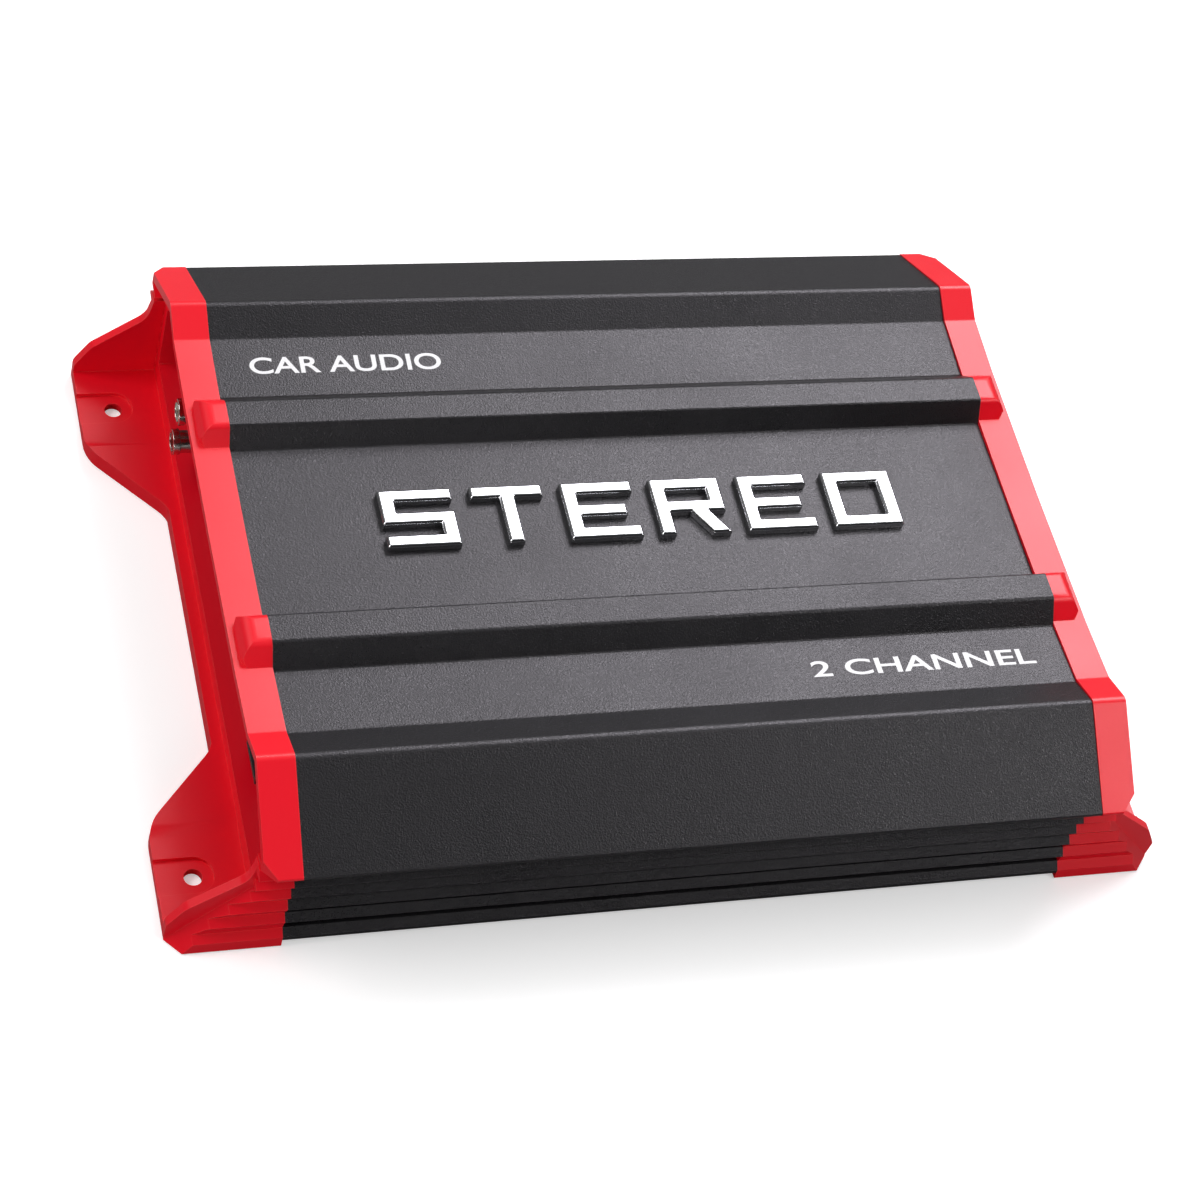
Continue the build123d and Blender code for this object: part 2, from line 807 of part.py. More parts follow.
def transistors():
    packs = []
    for s in (-1, 1):
        for x in transistor_x:
            low, high = sorted((s * (pad_face - 4.6), s * pad_face))
            body = block(x - 5.0, x + 5.0, low, high, 24.0, 39.5)
            packs.append(body)
    return packs


def transistor_legs():
    legs = []
    for s in (-1, 1):
        for x in transistor_x:
            for i in (-1, 0, 1):
                low, high = sorted((s * (pad_face - 3.4), s * (pad_face - 2.6)))
                legs.append(block(x + 2.54 * i - 0.4, x + 2.54 * i + 0.4, low, high, board_top, 24.0))
    return legs


def insulator_strips():
    strips = []
    for s in (-1, 1):
        low, high = sorted((s * pad_face, s * cavity_y))
        strip = block(-94.0, 94.0, low, high, 23.5, 40.0)
        for x in clamp_screw_x:
            strip = strip - rod_y(clamp_hole_r, low - 1, high + 1, x, clamp_screw_z)
        strips.append(strip)
    return strips


def clamp_bars():
    bars = []
    for s in (-1, 1):
        low, high = sorted((s * (pad_face - 7.6), s * (pad_face - 4.6)))
        bar_solid = block(-92.0, 92.0, low, high, 29.0, 37.0)
        for x in clamp_screw_x:
            bar_solid = bar_solid - rod_y(clamp_hole_r, low - 1, high + 1, x, clamp_screw_z)
        bars.append(bar_solid)
    return bars


def clamp_screws():
    screws = []
    for s in (-1, 1):
        inner = s * (pad_face - 7.6)
        for x in clamp_screw_x:
            low, high = sorted((inner, inner - s * 2.0))
            head = rod_y(2.8, low, high, x, clamp_screw_z)
            low, high = sorted((inner, s * 109.0))
            screws.append(head + rod_y(screw_shank_r, low, high, x, clamp_screw_z))
    return screws


chip_places = [(-60.0, -20.0, 20.0), (-60.0, -45.0, 10.0), (-20.0, -45.0, 20.0), (10.0, -70.0, 20.0)]
chip_depth = 7.0


def chips():
    """Driver chips on the main board, given as x, y and length."""
    packs = []
    for x, y, w in chip_places:
        half_depth = chip_depth / 2
        body = block(x - w / 2, x + w / 2, y - half_depth, y + half_depth, board_top + 0.1, board_top + 3.6)
        packs.append(body - rod_z(0.8, board_top + 3.2, board_top + 5, x - w / 2 + 1.5, y))
    return packs


# --- write every piece ---
save("heatsink_extrusion", heatsink())
save("bottom_plate", bottom_plate())
right_cap = end_cap()
save("end_cap_right", right_cap)
save("end_cap_left", mirror(right_cap, about=Plane.YZ))
save("cap_screws", cap_screws(1) + cap_screws(-1))
save("case_screws", plate_screws() + panel_screws(1) + panel_screws(-1))
save("end_panel_left", left_panel())
save("end_panel_right", right_panel())
save("badge_letters", badge())

save("signal_jack_block", jack_block())
save("signal_jack_shells", jack_shells())
save("signal_jack_insulators", jack_cores())
save("input_contacts", jack_contacts() + speaker_input_pins())
for knob_name, y in zip(("gain_knob", "low_pass_knob", "high_pass_knob", "bass_knob"), knob_y):
    save(knob_name, knob(y))
save("potentiometers", pots())
save("filter_switch_slider", switch_slider())
save("filter_switch_body", switch_body())
save("speaker_level_socket", speaker_input())
save("indicator_lenses", indicator_lenses())
save("control_board", control_board())
save("control_board_header", board_header())

save("power_terminal_block", terminal_block("power", power_y))
save("terminal_bars", terminal_bars(power_y) + terminal_bars(speaker_y))
save("speaker_terminal_block", terminal_block("speaker", speaker_y))
for i, y in enumerate(power_y):
    save("power_clamp_" + str(i + 1), terminal_cage("power", y))
    save("power_clamp_screw_" + str(i + 1), terminal_screw("power", y))
for i, y in enumerate(speaker_y):
    save("speaker_clamp_" + str(i + 1), terminal_cage("speaker", y))
    save("speaker_clamp_screw_" + str(i + 1), terminal_screw("speaker", y))
save("fuse_holder", fuse_holder())
save("fuse_clips", fuse_clips())
for i, y in enumerate(fuse_y):
    save("fuse_body_" + str(i + 1), fuse_body(y))
    save("fuse_blades_" + str(i + 1), fuse_blades(y))

save("main_board", main_board())
save("board_standoffs", standoffs())
save("inner_screws", board_screws() + clamp_screws())
save("ferrite_cores", [toroid_core()] + coil_cores())
save("copper_windings", [toroid_winding()] + output_coils())
save("input_capacitors", input_capacitors())
save("rail_capacitors", rail_capacitors())
save("small_capacitors", small_capacitors())
save("power_transistors", transistors())
save("transistor_legs", transistor_legs())
save("insulator_strips", insulator_strips())
save("transistor_clamp_bars", clamp_bars())
save("board_chips", chips())
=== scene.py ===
import bpy
import bmesh
import json
import math
from mathutils import Matrix, Vector


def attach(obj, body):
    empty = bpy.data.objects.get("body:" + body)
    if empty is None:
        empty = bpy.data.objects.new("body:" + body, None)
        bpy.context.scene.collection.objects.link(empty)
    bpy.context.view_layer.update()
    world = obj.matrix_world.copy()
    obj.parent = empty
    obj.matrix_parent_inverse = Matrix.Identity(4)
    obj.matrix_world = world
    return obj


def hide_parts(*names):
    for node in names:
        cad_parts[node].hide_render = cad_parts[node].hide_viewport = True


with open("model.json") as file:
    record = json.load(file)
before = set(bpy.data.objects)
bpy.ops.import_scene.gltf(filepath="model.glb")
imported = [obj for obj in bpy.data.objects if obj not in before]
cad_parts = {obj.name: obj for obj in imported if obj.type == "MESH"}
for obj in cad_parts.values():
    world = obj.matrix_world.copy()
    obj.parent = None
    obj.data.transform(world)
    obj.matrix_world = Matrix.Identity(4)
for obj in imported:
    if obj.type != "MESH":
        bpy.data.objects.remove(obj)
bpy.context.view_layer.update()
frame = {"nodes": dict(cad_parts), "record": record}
cadNodes = frame["nodes"]
mm = 0.001
print("frame loaded:", len(cadNodes), "nodes")

# camera
camera = {
    "place": (-0.32905, -0.57276, 0.83526),
    "look": (0.30830, 0.54129, -0.78228),
    "roll": 20.93,                       # degrees, tilts the picture
    "lens": 91.7,
    "sensor": 36.0,
    "farClip": 20.0,
}


def addCamera():
    data = bpy.data.cameras.new("viewCamera")
    data.lens = camera["lens"]
    data.sensor_width = camera["sensor"]
    data.clip_end = camera["farClip"]
    item = bpy.data.objects.new("viewCamera", data)
    forward = Vector(camera["look"]).normalized()
    right = forward.cross(Vector((0, 0, 1))).normalized()
    up = right.cross(forward)
    turn = math.radians(camera["roll"])
    side = right * math.cos(turn) + up * math.sin(turn)
    top = up * math.cos(turn) - right * math.sin(turn)
    item.matrix_world = Matrix((
        (side.x, top.x, -forward.x, camera["place"][0]),
        (side.y, top.y, -forward.y, camera["place"][1]),
        (side.z, top.z, -forward.z, camera["place"][2]),
        (0, 0, 0, 1),
    ))
    bpy.context.collection.objects.link(item)
    bpy.context.scene.camera = item


addCamera()

# node helpers
def newMaterial(name, roughness, metallic=0.0, **sockets):
    material = bpy.data.materials.new(name)
    material.use_nodes = True
    shader = material.node_tree.nodes["Principled BSDF"]
    shader.inputs["Roughness"].default_value = roughness
    shader.inputs["Metallic"].default_value = metallic
    for socket, value in sockets.items():
        shader.inputs[socket.replace("_", " ")].default_value = value
    return material, shader


def placeGroup(material, group, **values):
    node = material.node_tree.nodes.new("ShaderNodeGroup")
    node.node_tree = group
    for label, value in values.items():
        node.inputs[label.replace("_", " ")].default_value = value
    return node


def mixColours(material, factor, first, second):
    # first where the factor is 0, second where it is 1
    tree = material.node_tree
    mix = tree.nodes.new("ShaderNodeMix")
    mix.data_type = "RGBA"
    firstColour, secondColour, mixedColour = mix.inputs[6], mix.inputs[7], mix.outputs[2]
    tree.links.new(factor, mix.inputs["Factor"])
    for value, socket in ((first, firstColour), (second, secondColour)):
        if isinstance(value, tuple):
            socket.default_value = (*value, 1)
        else:
            tree.links.new(value, socket)
    return mixedColour


def mapValue(material, value, low, high, fromLow=0.0, fromHigh=1.0):
    tree = material.node_tree
    node = tree.nodes.new("ShaderNodeMapRange")
    node.inputs["From Min"].default_value = fromLow
    node.inputs["From Max"].default_value = fromHigh
    node.inputs["To Min"].default_value = low
    node.inputs["To Max"].default_value = high
    tree.links.new(value, node.inputs["Value"])
    return node.outputs["Result"]


# studio
studio = {
    "floorSize": 8.0,
    "floorDrop": 0.0004,                 # keeps the floor just under the feet
    "floorRoughness": 0.9,
    "floor": (0.92, 0.92, 0.92),
    "floorBounce": (0.20, 0.20, 0.20),   # what the floor throws back at the object
    "floorGlow": 0.38,                   # lifts the soft shadow
    "skyBright": (1.0, 1.0, 1.0),        # behind and above the object
    "skyDark": (0.04, 0.04, 0.042),      # low, in front of it
    "skyToward": (0.15, 0.50, 0.85),     # where the sky is brightest
    "skyFrom": 0.30,                     # how near that way the sky starts to brighten
    "skyPower": 0.58,
    "lights": [
        # name, place, aim, width, height, power, colour
        ("keySoftbox", (0.88, 1.02, 1.48), (0.05, 0.0, 0.03), 1.15, 0.85, 29.0, (0.99, 0.97, 1.02)),
        ("leftSoftbox", (-1.7, 0.35, 1.55), (-0.05, 0.0, 0.0), 1.2, 1.2, 27.0, (1.0, 0.99, 0.99)),
        ("rightSoftbox", (1.15, -0.82, 1.40), (0.10, -0.05, 0.03), 0.5, 0.5, 7.5, (1.0, 0.99, 0.99)),
        ("frontSoftbox", (-0.7, -1.9, 0.42), (0.0, 0.0, 0.0), 1.3, 0.5, 12.0, (1.0, 0.99, 0.99)),
    ],
}


def addFloor():
    bpy.ops.mesh.primitive_plane_add(size=studio["floorSize"], location=(0, 0, -studio["floorDrop"]))
    floor = bpy.context.object
    floor.name = "studioFloor"
    material, shader = newMaterial("studioPaper", studio["floorRoughness"])
    shader.inputs["Emission Color"].default_value = (1.0, 1.0, 1.0, 1)
    tree = material.node_tree
    seen = tree.nodes.new("ShaderNodeLightPath").outputs["Is Camera Ray"]
    tone = mixColours(material, seen, studio["floorBounce"], studio["floor"])
    glow = mapValue(material, seen, 0.0, studio["floorGlow"])
    tree.links.new(tone, shader.inputs["Base Color"])
    tree.links.new(glow, shader.inputs["Emission Strength"])
    floor.data.materials.append(material)


def addSky():
    # brighter behind and above the object, dim in front of it
    world = bpy.data.worlds.new("studioSky")
    world.use_nodes = True
    tree = world.node_tree
    sky = tree.nodes["Background"]
    sky.inputs["Strength"].default_value = studio["skyPower"]
    coords = tree.nodes.new("ShaderNodeTexCoord")
    toward = tree.nodes.new("ShaderNodeVectorMath")
    toward.operation = "DOT_PRODUCT"
    toward.inputs[1].default_value = studio["skyToward"]
    tree.links.new(coords.outputs["Generated"], toward.inputs[0])
    reach = mapValue(world, toward.outputs["Value"], 0.0, 1.0, studio["skyFrom"], 1.0)
    tree.links.new(mixColours(world, reach, studio["skyDark"], studio["skyBright"]), sky.inputs["Color"])
    bpy.context.scene.world = world


def addLights():
    for name, place, aim, width, height, power, colour in studio["lights"]:
        data = bpy.data.lights.new(name, "AREA")
        data.shape = "RECTANGLE"
        data.size = width
        data.size_y = height
        data.energy = power
        data.color = colour
        lamp = bpy.data.objects.new(name, data)
        lamp.location = place
        lamp.rotation_euler = (Vector(aim) - Vector(place)).to_track_quat("-Z", "Y").to_euler()
        bpy.context.collection.objects.link(lamp)


addFloor()
addSky()
addLights()
bpy.context.scene.view_settings.view_transform = "Standard"
print("camera and studio ready")


# shared shader groups
def newGroup(name, inputs, outputs):
    group = bpy.data.node_groups.new(name, "ShaderNodeTree")
    for label, kind, value in inputs:
        socket = group.interface.new_socket(name=label, in_out="INPUT", socket_type=kind)
        if value is not None:
            socket.default_value = value
    for label, kind in outputs:
        group.interface.new_socket(name=label, in_out="OUTPUT", socket_type=kind)
    start = group.nodes.new("NodeGroupInput")
    end = group.nodes.new("NodeGroupOutput")
    return group, start, end


def buildGrain():
    # fine bumps and speckles of a sprayed or moulded skin
    group, start, end = newGroup(
        "fineGrain",
        [("Size", "NodeSocketFloat", 900.0), ("Blotch", "NodeSocketFloat", 40.0)],
        [("Height", "NodeSocketFloat"), ("Speckle", "NodeSocketFloat"), ("Cloud", "NodeSocketFloat")],
    )
    nodes, links = group.nodes, group.links
    coords = nodes.new("ShaderNodeTexCoord")
    small = nodes.new("ShaderNodeTexNoise")
    small.inputs["Detail"].default_value = 2.0
    small.inputs["Roughness"].default_value = 0.65
    spots = nodes.new("ShaderNodeTexVoronoi")
    large = nodes.new("ShaderNodeTexNoise")
    large.inputs["Detail"].default_value = 3.0
    ramp = nodes.new("ShaderNodeMapRange")
    ramp.inputs["From Min"].default_value = 0.08
    ramp.inputs["From Max"].default_value = 0.55
    ramp.inputs["To Min"].default_value = 1.0
    ramp.inputs["To Max"].default_value = 0.0
    links.new(coords.outputs["Object"], small.inputs["Vector"])
    links.new(coords.outputs["Object"], spots.inputs["Vector"])
    links.new(coords.outputs["Object"], large.inputs["Vector"])
    links.new(start.outputs["Size"], small.inputs["Scale"])
    links.new(start.outputs["Size"], spots.inputs["Scale"])
    links.new(start.outputs["Blotch"], large.inputs["Scale"])
    links.new(small.outputs["Fac"], end.inputs["Height"])
    links.new(spots.outputs["Distance"], ramp.inputs["Value"])
    links.new(ramp.outputs["Result"], end.inputs["Speckle"])
    links.new(large.outputs["Fac"], end.inputs["Cloud"])
    return group


def buildEdge():
    # 1 along sharp edges, broken up a little
    group, start, end = newGroup(
        "edgeMask",
        [("Width", "NodeSocketFloat", 0.0006), ("Break Up", "NodeSocketFloat", 120.0)],
        [("Mask", "NodeSocketFloat")],
    )
    nodes, links = group.nodes, group.links
    bevel = nodes.new("ShaderNodeBevel")
    bevel.samples = 4
    geometry = nodes.new("ShaderNodeNewGeometry")
    dot = nodes.new("ShaderNodeVectorMath")
    dot.operation = "DOT_PRODUCT"
    spread = nodes.new("ShaderNodeMapRange")
    spread.inputs["From Min"].default_value = 0.995
    spread.inputs["From Max"].default_value = 0.86
    coords = nodes.new("ShaderNodeTexCoord")
    noise = nodes.new("ShaderNodeTexNoise")
    lift = nodes.new("ShaderNodeMapRange")
    lift.inputs["From Min"].default_value = 0.35
    lift.inputs["From Max"].default_value = 0.65
    lift.inputs["To Min"].default_value = 0.35
    both = nodes.new("ShaderNodeMath")
    both.operation = "MULTIPLY"
    links.new(start.outputs["Width"], bevel.inputs["Radius"])
    links.new(bevel.outputs["Normal"], dot.inputs[0])
    links.new(geometry.outputs["Normal"], dot.inputs[1])
    links.new(dot.outputs["Value"], spread.inputs["Value"])
    links.new(coords.outputs["Object"], noise.inputs["Vector"])
    links.new(start.outputs["Break Up"], noise.inputs["Scale"])
    links.new(noise.outputs["Fac"], lift.inputs["Value"])
    links.new(spread.outputs["Result"], both.inputs[0])
    links.new(lift.outputs["Result"], both.inputs[1])
    links.new(both.outputs["Value"], end.inputs["Mask"])
    return group


fineGrain = buildGrain()
edgeMask = buildEdge()


# materials
def addBump(material, shader, height, strength, distance):
    tree = material.node_tree
    bump = tree.nodes.new("ShaderNodeBump")
    bump.inputs["Strength"].default_value = strength
    bump.inputs["Distance"].default_value = distance
    tree.links.new(height, bump.inputs["Height"])
    tree.links.new(bump.outputs["Normal"], shader.inputs["Normal"])


cloudRange = (0.3, 0.7)                   # where the large noise really varies


def cloudRoughness(material, cloud, look):
    base, spread = look["roughness"], look["roughSpread"]
    return mapValue(material, cloud, base - spread, base + spread, *cloudRange)


def coatedSkin(name, look):
    # one recipe for painted and moulded skins: colour clouds, speckles, lighter edges (partly wear, partly a
    # painted highlight), fine bumps
    sockets = look.get("sockets", {})
    material, shader = newMaterial(name, look["roughness"], look.get("metallic", 0.0), **sockets)
    links = material.node_tree.links
    grain = placeGroup(material, fineGrain, Size=look["grain"], Blotch=look.get("blotch", 25.0))
    edge = placeGroup(material, edgeMask, Width=look.get("edgeWidth", 0.0005), Break_Up=150.0)
    cloud, speckle = grain.outputs["Cloud"], grain.outputs["Speckle"]
    patches = mapValue(material, cloud, 0.0, 1.0, *cloudRange)
    dots = mapValue(material, speckle, 0.0, look["speckAmount"])
    clouded = mixColours(material, patches, look["colour"], look["cloud"])
    speckled = mixColours(material, dots, clouded, look["speck"])
    # painted highlight and wear: a lighter edge colour goes along sharp edges, where light catches them
    edgeWearAndHighlight = mapValue(material, edge.outputs["Mask"], 0.0, look["edgeAmount"])
    links.new(mixColours(material, edgeWearAndHighlight, speckled, look["edge"]), shader.inputs["Base Color"])
    speckRough = look.get("speckRough", 0.0)
    total = material.node_tree.nodes.new("ShaderNodeMath")
    links.new(cloudRoughness(material, cloud, look), total.inputs[0])
    links.new(mapValue(material, speckle, speckRough, -speckRough), total.inputs[1])
    links.new(total.outputs["Value"], shader.inputs["Roughness"])
    addBump(material, shader, grain.outputs["Height"], look["bump"], look.get("bumpDepth", 0.0002))
    return material


skins = {
    "charcoal_powder_coat": {
        "colour": (0.0030, 0.0029, 0.0035), "cloud": (0.0042, 0.0040, 0.0048),
        "speck": (0.018, 0.017, 0.020), "speckAmount": 0.5, "edge": (0.09, 0.087, 0.095),
        "edgeAmount": 0.25, "edgeWidth": 0.0007, "roughness": 0.31, "roughSpread": 0.03,
        "speckRough": 0.07, "grain": 1700.0, "bump": 0.75, "bumpDepth": 0.00022,
        "sockets": {"Specular_IOR_Level": 0.52, "Specular_Tint": (0.99, 0.96, 1.0, 1.0)},
    },
    "red_gloss_plastic": {
        "colour": (0.84, 0.0010, 0.014), "cloud": (0.78, 0.0010, 0.012),
        "speck": (0.86, 0.01, 0.02), "speckAmount": 0.10, "edge": (0.95, 0.10, 0.09),
        "edgeAmount": 0.4, "edgeWidth": 0.0006, "roughness": 0.36, "roughSpread": 0.04,
        "grain": 700.0, "blotch": 18.0, "bump": 0.06, "bumpDepth": 0.0002,
        "sockets": {"Coat_Weight": 0.08, "Coat_Roughness": 0.15, "Specular_IOR_Level": 0.42},
    },
    "black_coated_steel": {
        "colour": (0.020, 0.020, 0.022), "cloud": (0.027, 0.027, 0.029),
        "speck": (0.07, 0.07, 0.07), "speckAmount": 0.3, "edge": (0.10, 0.10, 0.10),
        "edgeAmount": 0.5, "roughness": 0.42, "roughSpread": 0.06, "grain": 1300.0, "bump": 0.35,
    },
    "black_screw": {
        "colour": (0.025, 0.025, 0.027), "cloud": (0.035, 0.035, 0.036),
        "speck": (0.10, 0.10, 0.10), "speckAmount": 0.2, "edge": (0.30, 0.30, 0.30),
        "edgeAmount": 0.7, "edgeWidth": 0.0003, "roughness": 0.32, "roughSpread": 0.08,
        "metallic": 0.7, "grain": 2500.0, "bump": 0.15,
    },
    "black_plastic": {
        "colour": (0.018, 0.018, 0.019), "cloud": (0.024, 0.024, 0.025),
        "speck": (0.05, 0.05, 0.05), "speckAmount": 0.2, "edge": (0.09, 0.09, 0.09),
        "edgeAmount": 0.5, "edgeWidth": 0.0003, "roughness": 0.45, "roughSpread": 0.08,
        "grain": 2200.0, "bump": 0.25,
    },
    "white_plastic": {
        "colour": (0.78, 0.76, 0.71), "cloud": (0.72, 0.70, 0.64), "speck": (0.6, 0.58, 0.52),
        "speckAmount": 0.1, "edge": (0.92, 0.91, 0.88), "edgeAmount": 0.4, "edgeWidth": 0.0002,
        "roughness": 0.38, "roughSpread": 0.06, "grain": 1800.0, "bump": 0.1,
    },
    "ferrite": {
        "colour": (0.045, 0.045, 0.05), "cloud": (0.06, 0.06, 0.062), "speck": (0.12, 0.12, 0.12),
        "speckAmount": 0.4, "edge": (0.14, 0.14, 0.14), "edgeAmount": 0.5, "roughness": 0.6,
        "roughSpread": 0.1, "grain": 1600.0, "bump": 0.4,
    },
    "capacitor_sleeve": {
        "colour": (0.020, 0.022, 0.03), "cloud": (0.03, 0.032, 0.042), "speck": (0.08, 0.08, 0.09),
        "speckAmount": 0.1, "edge": (0.30, 0.30, 0.32), "edgeAmount": 0.5, "roughness": 0.28,
        "roughSpread": 0.06, "grain": 700.0, "bump": 0.08,
    },
    "black_epoxy": {
        "colour": (0.028, 0.028, 0.03), "cloud": (0.036, 0.036, 0.037), "speck": (0.09, 0.09, 0.09),
        "speckAmount": 0.25, "edge": (0.10, 0.10, 0.10), "edgeAmount": 0.4, "roughness": 0.55,
        "roughSpread": 0.08, "grain": 3000.0, "bump": 0.2,
    },
    "grey_insulator": {
        "colour": (0.33, 0.34, 0.36), "cloud": (0.29, 0.30, 0.32), "speck": (0.45, 0.45, 0.46),
        "speckAmount": 0.2, "edge": (0.42, 0.42, 0.43), "edgeAmount": 0.3, "roughness": 0.65,
        "roughSpread": 0.08, "grain": 1500.0, "bump": 0.25,
    },
    "fuse_plastic": {
        "colour": (0.03, 0.42, 0.10), "cloud": (0.02, 0.34, 0.08), "speck": (0.1, 0.6, 0.2),
        "speckAmount": 0.1, "edge": (0.25, 0.75, 0.32), "edgeAmount": 0.6, "edgeWidth": 0.0004,
        "roughness": 0.22, "roughSpread": 0.05, "grain": 900.0, "bump": 0.04,
        "sockets": {"Transmission_Weight": 0.25},
    },
}


def metalSkin(name, look):
    # plated or drawn metal with faint smudges, fine scratches along one way, and lighter edges that are
    # partly wear and partly a painted highlight
    material, shader = newMaterial(name, look["roughness"], 1.0)
    tree = material.node_tree
    grain = placeGroup(material, fineGrain, Size=900.0, Blotch=60.0)
    edge = placeGroup(material, edgeMask, Width=0.0003, Break_Up=300.0)
    cloud = grain.outputs["Cloud"]
    patches = mapValue(material, cloud, 0.0, 1.0, *cloudRange)
    toned = mixColours(material, patches, look["colour"], look["cloud"])
    # painted highlight and wear: a lighter colour along sharp edges
    edgeWearAndHighlight = mapValue(material, edge.outputs["Mask"], 0.0, 0.4)
    tree.links.new(mixColours(material, edgeWearAndHighlight, toned, look["edge"]), shader.inputs["Base Color"])
    tree.links.new(cloudRoughness(material, cloud, look), shader.inputs["Roughness"])
    coords = tree.nodes.new("ShaderNodeTexCoord")
    stretch = tree.nodes.new("ShaderNodeMapping")
    stretch.inputs["Scale"].default_value = look.get("stretch", (60.0, 2200.0, 2200.0))
    lines = tree.nodes.new("ShaderNodeTexNoise")
    lines.inputs["Scale"].default_value = 1.0
    tree.links.new(coords.outputs["Object"], stretch.inputs["Vector"])
    tree.links.new(stretch.outputs["Vector"], lines.inputs["Vector"])
    addBump(material, shader, lines.outputs["Fac"], look["scratch"], 0.0001)
    return material


metals = {
    "chrome_letters": {
        "colour": (0.80, 0.80, 0.82), "cloud": (0.72, 0.73, 0.75), "edge": (0.95, 0.95, 0.96),
        "roughness": 0.09, "roughSpread": 0.03, "scratch": 0.03,
    },
    "nickel_plate": {
        "colour": (0.74, 0.72, 0.68), "cloud": (0.64, 0.62, 0.58), "edge": (0.9, 0.88, 0.84),
        "roughness": 0.14, "roughSpread": 0.05, "scratch": 0.06,
    },
    "brass_contact": {
        "colour": (0.76, 0.56, 0.22), "cloud": (0.66, 0.47, 0.18), "edge": (0.9, 0.74, 0.4),
        "roughness": 0.25, "roughSpread": 0.06, "scratch": 0.1,
    },
    "zinc_steel": {
        "colour": (0.56, 0.57, 0.60), "cloud": (0.46, 0.47, 0.50), "edge": (0.8, 0.8, 0.82),
        "roughness": 0.28, "roughSpread": 0.08, "scratch": 0.15, "stretch": (1500.0, 1500.0, 120.0),
    },
    "fuse_blade": {
        "colour": (0.66, 0.66, 0.68), "cloud": (0.56, 0.56, 0.58), "edge": (0.85, 0.85, 0.86),
        "roughness": 0.24, "roughSpread": 0.06, "scratch": 0.12,
    },
    "tinned_leg": {
        "colour": (0.62, 0.62, 0.64), "cloud": (0.5, 0.5, 0.52), "edge": (0.8, 0.8, 0.8),
        "roughness": 0.3, "roughSpread": 0.08, "scratch": 0.1,
    },
    "bare_aluminium": {
        "colour": (0.62, 0.62, 0.65), "cloud": (0.55, 0.55, 0.58), "edge": (0.82, 0.82, 0.84),
        "roughness": 0.32, "roughSpread": 0.06, "scratch": 0.3,
    },
}


def copperWire():
    # wound enamelled wire: fine turns standing beside each other
    material, shader = newMaterial("copper_wire", 0.3, 1.0)
    tree = material.node_tree
    coords = tree.nodes.new("ShaderNodeTexCoord")
    turns = tree.nodes.new("ShaderNodeTexWave")
    turns.wave_type = "BANDS"
    turns.bands_direction = "DIAGONAL"
    turns.inputs["Scale"].default_value = 260.0
    turns.inputs["Distortion"].default_value = 0.6
    tree.links.new(coords.outputs["Object"], turns.inputs["Vector"])
    tone = mixColours(material, turns.outputs["Fac"], (0.28, 0.09, 0.03), (0.72, 0.30, 0.13))
    tree.links.new(tone, shader.inputs["Base Color"])
    addBump(material, shader, turns.outputs["Fac"], 0.8, 0.0004)
    return material


def greenBoard():
    # solder mask over a maze of tracks, with pads
    material, shader = newMaterial("green_board", 0.3, 0.0, Coat_Weight=0.3)
    tree = material.node_tree
    coords = tree.nodes.new("ShaderNodeTexCoord")
    tracks = tree.nodes.new("ShaderNodeTexVoronoi")
    tracks.distance = "MANHATTAN"
    tracks.inputs["Scale"].default_value = 130.0
    tree.links.new(coords.outputs["Object"], tracks.inputs["Vector"])
    track = mapValue(material, tracks.outputs["Distance"], 0.0, 1.0, 0.48, 0.56)
    tone = mixColours(material, track, (0.010, 0.12, 0.045), (0.03, 0.26, 0.10))
    pad = mapValue(material, tracks.outputs["Distance"], 1.0, 0.0, 0.06, 0.09)
    tinned = mixColours(material, pad, tone, (0.62, 0.62, 0.60))
    tree.links.new(tinned, shader.inputs["Base Color"])
    addBump(material, shader, track, 0.3, 0.0001)
    return material


lens = {
    "red": (0.75, 0.05, 0.03),
    "green": (0.05, 0.65, 0.10),
    "between": (-0.0475, -0.0465),       # Y between the two lenses
}


def indicatorLens():
    material, shader = newMaterial("indicator_lens", 0.12, 0.0, Transmission_Weight=0.7, IOR=1.45)
    tree = material.node_tree
    coords = tree.nodes.new("ShaderNodeTexCoord")
    split = tree.nodes.new("ShaderNodeSeparateXYZ")
    tree.links.new(coords.outputs["Object"], split.inputs["Vector"])
    which = mapValue(material, split.outputs["Y"], 0.0, 1.0, *lens["between"])
    tree.links.new(mixColours(material, which, lens["red"], lens["green"]), shader.inputs["Base Color"])
    return material


jackRing = {
    "lower": (0.62, 0.02, 0.02),
    "upper": (0.80, 0.79, 0.75),
    "between": (0.0364, 0.0366),         # Z between the two sockets
}


def jackInsulator():
    # the upper jack is white, the lower one red
    material, shader = newMaterial("jack_insulator", 0.35)
    tree = material.node_tree
    coords = tree.nodes.new("ShaderNodeTexCoord")
    split = tree.nodes.new("ShaderNodeSeparateXYZ")
    tree.links.new(coords.outputs["Object"], split.inputs["Vector"])
    which = mapValue(material, split.outputs["Z"], 0.0, 1.0, *jackRing["between"])
    tone = mixColours(material, which, jackRing["lower"], jackRing["upper"])
    tree.links.new(tone, shader.inputs["Base Color"])
    grain = placeGroup(material, fineGrain, Size=2200.0)
    addBump(material, shader, grain.outputs["Height"], 0.1, 0.0001)
    return material


def whiteInk():
    material, shader = newMaterial("printed_ink", 0.5)
    grain = placeGroup(material, fineGrain, Size=2500.0)
    patches = mapValue(material, grain.outputs["Height"], 0.0, 1.0, 0.35, 0.65)
    tone = mixColours(material, patches, (0.70, 0.70, 0.71), (0.84, 0.84, 0.85))
    material.node_tree.links.new(tone, shader.inputs["Base Color"])
    return material


